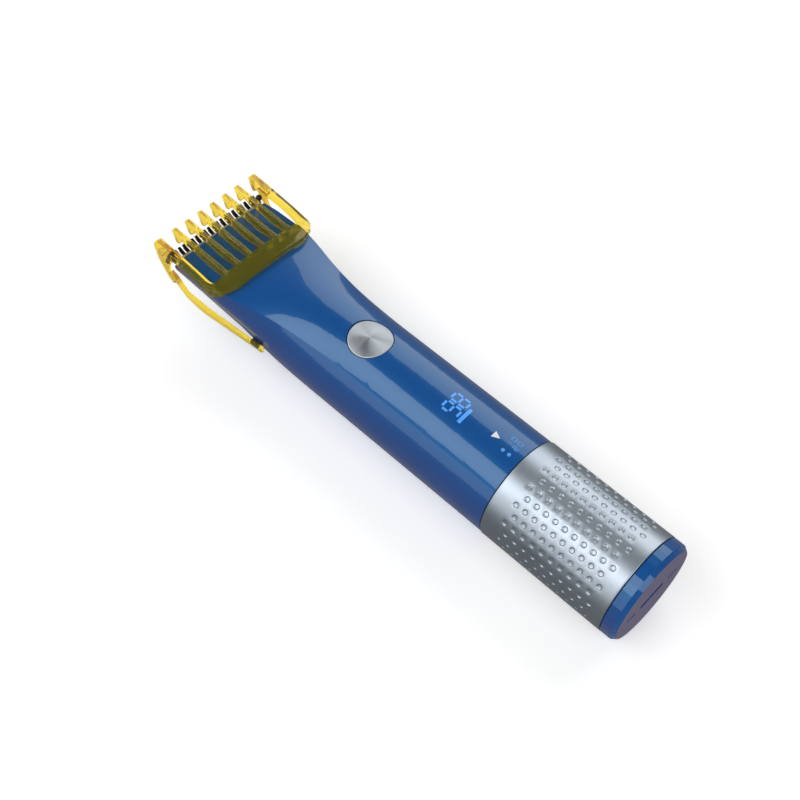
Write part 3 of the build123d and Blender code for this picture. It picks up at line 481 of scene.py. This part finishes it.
def spun_button():
    """Rings of points on the crown of the CAD button, the bevel, and a straight skirt."""
    crown = skin("power_button")
    shape = bmesh.new()
    rings = [(BUTTON_TURNED * turn / BUTTON_TURNS, BUTTON_CUT * (turn % 2))
             for turn in range(1, BUTTON_TURNS + 1)]
    rings += [(share, drop * MM) for share, drop in BUTTON_EDGE]
    loops = []
    for share, drop in rings:
        loop = []
        read = min(share, BUTTON_READ)
        for step in range(BUTTON_STEPS):
            angle = 2 * pi * step / BUTTON_STEPS
            across, along = sin(angle) * BUTTON_R, cos(angle) * BUTTON_R
            top = height(crown, BUTTON_X + along * read, across * read)
            loop.append(shape.verts.new((BUTTON_X + along * share, across * share, top - drop)))
        loops.append(loop)
    loops.append([shape.verts.new((vert.co.x, vert.co.y, BUTTON_LOW.z)) for vert in loops[-1]])
    wall(shape, loops)
    fan(shape, loops[0], shape.verts.new((BUTTON_X, 0, height(crown, BUTTON_X, 0))))
    fan(shape, loops[-1], shape.verts.new((BUTTON_X, 0, BUTTON_LOW.z)))
    return finished("button_disc", shape)


piece("button_disc", spun_button(), "button", "brushed_metal", "power_button", finishes=(turned_button(),))

# ---- end cap: the round rim is cut to flats, and the slots and screw holes stay as they are ----
CAP_FLATS = 40
CAP_SHAVE = 0.06 * MM        # the flats' corners lie this far inside the round rim
CAP_BEYOND = 0.5 * MM        # the cutting blank reaches past both ends of the cap
CAP_FACE_X = CAP_HIGH.x - 0.01 * MM  # what lies past this is the flat end face
CAP_RIM_R = DIAL_R - 0.02 * MM       # what lies outside this is the round rim


def faceted_cap():
    """The CAD cap, cut down to a blank with flats whose bevel follows the cap's own."""
    source = NODES["end_cap"]
    spokes = [(point.x, hypot(point.y, point.z - AXIS_Z))
              for point in (source.matrix_world @ vertex.co for vertex in source.data.vertices)]
    face_r = max(radius for x, radius in spokes if x > CAP_FACE_X)
    bevel_x = max(x for x, radius in spokes if radius > CAP_RIM_R)
    slope = (DIAL_R - face_r) / (CAP_HIGH.x - bevel_x)
    shape = bmesh.new()
    angles = [2 * pi * (index + 0.5) / CAP_FLATS for index in range(CAP_FLATS)]
    loops = []
    for x, radius in ((CAP_LOW.x - CAP_BEYOND, DIAL_R), (bevel_x, DIAL_R),
                      (CAP_HIGH.x + CAP_BEYOND, face_r - slope * CAP_BEYOND)):
        radius -= CAP_SHAVE
        loops.append([shape.verts.new((x, radius * sin(a), AXIS_Z + radius * cos(a))) for a in angles])
    wall(shape, loops)
    shape.faces.new(loops[0])
    shape.faces.new(loops[-1])
    blank = bpy.data.objects.new("blank", finished("blank", shape, smooth=False))
    cut = bpy.data.objects.new("cut", source.data.copy())
    cut.matrix_world = source.matrix_world
    for made in (blank, cut):
        bpy.context.scene.collection.objects.link(made)
    flats = cut.modifiers.new("flats", "BOOLEAN")
    flats.operation, flats.solver, flats.object = "INTERSECT", "EXACT", blank
    evaluated = cut.evaluated_get(bpy.context.evaluated_depsgraph_get())
    shape = bmesh.new()
    shape.from_mesh(bpy.data.meshes.new_from_object(evaluated))
    shape.transform(cut.matrix_world)
    for made in (blank, cut):
        bpy.data.objects.remove(made)
    mesh = finished("cap_faceted", shape, smooth=False)
    mesh.materials.clear()
    for face in mesh.polygons:
        face.material_index = int(face.center.x > CAP_FACE_X)
    return mesh


piece("cap_faceted", faceted_cap(), "housing", "blue_shell", "end_cap",
      finishes=(FINISHES["blue_shell"], cap_face()))

# ---- printed marks between the display and the dial, draped on the shell ----
MARK_RISE = 0.02 * MM        # ink above the shell
MARK_SINK = 0.06 * MM        # and below it, so that no edge floats
POINTER_X, POINTER_LEN, POINTER_HALF = 29.9 * MM, 2.3 * MM, 1.15 * MM
POINTER_BLUNT = 0.02 * MM    # length left at the pointer's two corners
POINTER_STEPS = 8
DOT_R = 0.55 * MM
DOT_BLUNT = 0.01 * MM        # half length left at a dot's two ends
DOT_STEPS = 12
STROKE = 0.24 * MM
BAR_GAP = 0.55               # a lengthwise bar ends this share of a stroke short
BAR_STEPS = 3
GLYPH_LONG, GLYPH_WIDE = 1.5 * MM, 1.05 * MM
# rows of a dot and two numerals: place along the groomer, then the dot's and the numerals' places across it
MARK_ROWS = ((35.1, -2.1, ("1", 0.5), ("0", 2.7)), (37.3, -2.1, ("2", 0.5), ("0", 2.7)))
# ends of each bar of a numeral, as shares of half its length and half its width
BARS = {"a": (-1, -1, -1, 1), "b": (-1, 1, 0, 1), "c": (0, 1, 1, 1), "d": (1, -1, 1, 1),
        "e": (0, -1, 1, -1), "f": (-1, -1, 0, -1), "g": (0, -1, 0, 1)}
NUMERALS = {"0": "abcdef", "1": "bc", "2": "abged"}
SHELL_SKIN = skin("front_shell")


def drape(shape, columns):
    """A thin closed patch over the shell. A column is a place across it and the patch's two ends there."""
    upper, lower = [], []
    for y, x0, x1 in columns:
        for row, lift in ((upper, MARK_RISE), (lower, -MARK_SINK)):
            row.append([shape.verts.new((x, y, height(SHELL_SKIN, x, y) + lift)) for x in (x0, x1)])
    for index in range(len(columns) - 1):
        for row in (upper, lower):
            shape.faces.new((row[index][0], row[index][1], row[index + 1][1], row[index + 1][0]))
        for end in (0, 1):
            shape.faces.new((upper[index][end], upper[index + 1][end],
                             lower[index + 1][end], lower[index][end]))
    for index in (0, -1):
        shape.faces.new((upper[index][0], upper[index][1], lower[index][1], lower[index][0]))


def pointer():
    """A triangle that points at the display."""
    shape = bmesh.new()
    columns = []
    for step in range(POINTER_STEPS + 1):
        across = 2 * step / POINTER_STEPS - 1
        columns.append((across * POINTER_HALF, POINTER_X,
                        POINTER_X + POINTER_BLUNT + POINTER_LEN * (1 - abs(across))))
    drape(shape, columns)
    return finished("dial_pointer", shape, smooth=False)


def scale_marks():
    """Rows of a dot and a number, with the numerals built of straight bars."""
    shape = bmesh.new()
    for x, dot_y, *glyphs in MARK_ROWS:
        columns = []
        for step in range(DOT_STEPS + 1):
            turn = pi * step / DOT_STEPS
            reach = DOT_R * sin(turn) + DOT_BLUNT
            columns.append((dot_y * MM - DOT_R * cos(turn), x * MM - reach, x * MM + reach))
        drape(shape, columns)
        for numeral, y in glyphs:
            for bar in NUMERALS[numeral]:
                x0, y0, x1, y1 = BARS[bar]
                ends_x = [x * MM + end * GLYPH_LONG / 2 for end in (x0, x1)]
                ends_y = [y * MM + end * GLYPH_WIDE / 2 for end in (y0, y1)]
                if y0 == y1:
                    ends_x = [ends_x[0] + STROKE * BAR_GAP, ends_x[1] - STROKE * BAR_GAP]
                    ends_y = [ends_y[0] - STROKE / 2, ends_y[1] + STROKE / 2]
                else:
                    ends_x = [ends_x[0] - STROKE / 2, ends_x[1] + STROKE / 2]
                places = [ends_y[0] + (ends_y[1] - ends_y[0]) * step / BAR_STEPS
                          for step in range(BAR_STEPS + 1)]
                drape(shape, [(place, *ends_x) for place in places])
    return finished("scale_marks", shape, smooth=False)


piece("dial_pointer", pointer(), "housing", "light", finishes=(painted("white_ink", (0.82, 0.83, 0.85)),))
piece("scale_marks", scale_marks(), "housing", "light", finishes=(painted("blue_ink", (0.09, 0.36, 0.85)),))

# ---- the comb's edges are rounded as a moulding's are ----
COMB_VOXEL = 0.22 * MM
COMB_ROUNDING, COMB_PASSES = 0.5, 5
soften = NODES["comb"].modifiers.new("even", "REMESH")
soften.mode, soften.voxel_size, soften.use_smooth_shade = "VOXEL", COMB_VOXEL, True
rounding = NODES["comb"].modifiers.new("rounding", "SMOOTH")
rounding.factor, rounding.iterations = COMB_ROUNDING, COMB_PASSES

# ---- camera, floor and lights ----
CAMERA_PLACE = (0.14012, -0.16826, 0.33329)
CAMERA_TURN = (34.602, -2.104, 43.700)    # degrees about x, y and z
CAMERA_LENS, CAMERA_SENSOR = 59.83, 36.0  # mm
FLOOR_HALF = 3               # m
FLOOR_GLOW = 0.28            # the paper's own light, which lifts its shadows
WORLD_GLOW = 0.2
# name, place, target, width, height and radiance of each soft box
SOFTBOXES = (
    ("key", (-0.15, 0.78, 0.58), (0, 0, 0), 1.1, 0.8, 1.6),
    ("top", (-0.2, -0.45, 0.6), (-0.02, 0, 0), 0.75, 0.44, 2.6),
    ("side", (-0.3, -0.95, 0.3), (0, 0, 0.02), 1.2, 0.5, 1.0),
    ("fill", (0.8, -0.25, 0.75), (0, 0, 0), 0.8, 0.8, 2.0),
)

camera = bpy.data.objects.new("camera", bpy.data.cameras.new("camera"))
bpy.context.scene.collection.objects.link(camera)
camera.location = CAMERA_PLACE
camera.rotation_euler = [radians(turn) for turn in CAMERA_TURN]
camera.data.lens, camera.data.sensor_width = CAMERA_LENS, CAMERA_SENSOR
camera.data.clip_start = 0.01
bpy.context.scene.camera = camera

floor_mesh = bpy.data.meshes.new("floor")
corners = [(x * FLOOR_HALF, y * FLOOR_HALF, 0) for x, y in ((-1, -1), (1, -1), (1, 1), (-1, 1))]
floor_mesh.from_pydata(corners, [], [(0, 1, 2, 3)])
floor = bpy.data.objects.new("floor", floor_mesh)
bpy.context.scene.collection.objects.link(floor)
paper = Finish("paper", {"Roughness": 0.9, "Base Color": (0.92, 0.92, 0.92, 1),
                         "Emission Color": (1, 1, 1, 1), "Emission Strength": FLOOR_GLOW})
floor_mesh.materials.append(paper.material)
floor.visible_glossy = False

world = bpy.data.worlds.new("studio")
bpy.context.scene.world = world
world.use_nodes = True
world.node_tree.nodes["Background"].inputs["Color"].default_value = (1, 1, 1, 1)
world.node_tree.nodes["Background"].inputs["Strength"].default_value = WORLD_GLOW
bpy.context.scene.view_settings.view_transform = "Standard"

for name, place, target, width, length, glow in SOFTBOXES:
    data = bpy.data.lights.new(name, "AREA")
    data.shape, data.size, data.size_y = "RECTANGLE", width, length
    data.energy = glow * pi * width * length
    softbox = bpy.data.objects.new(name, data)
    bpy.context.scene.collection.objects.link(softbox)
    softbox.location = place
    softbox.rotation_mode = "QUATERNION"
    softbox.rotation_quaternion = (Vector(target) - Vector(place)).to_track_quat("-Z", "Y")
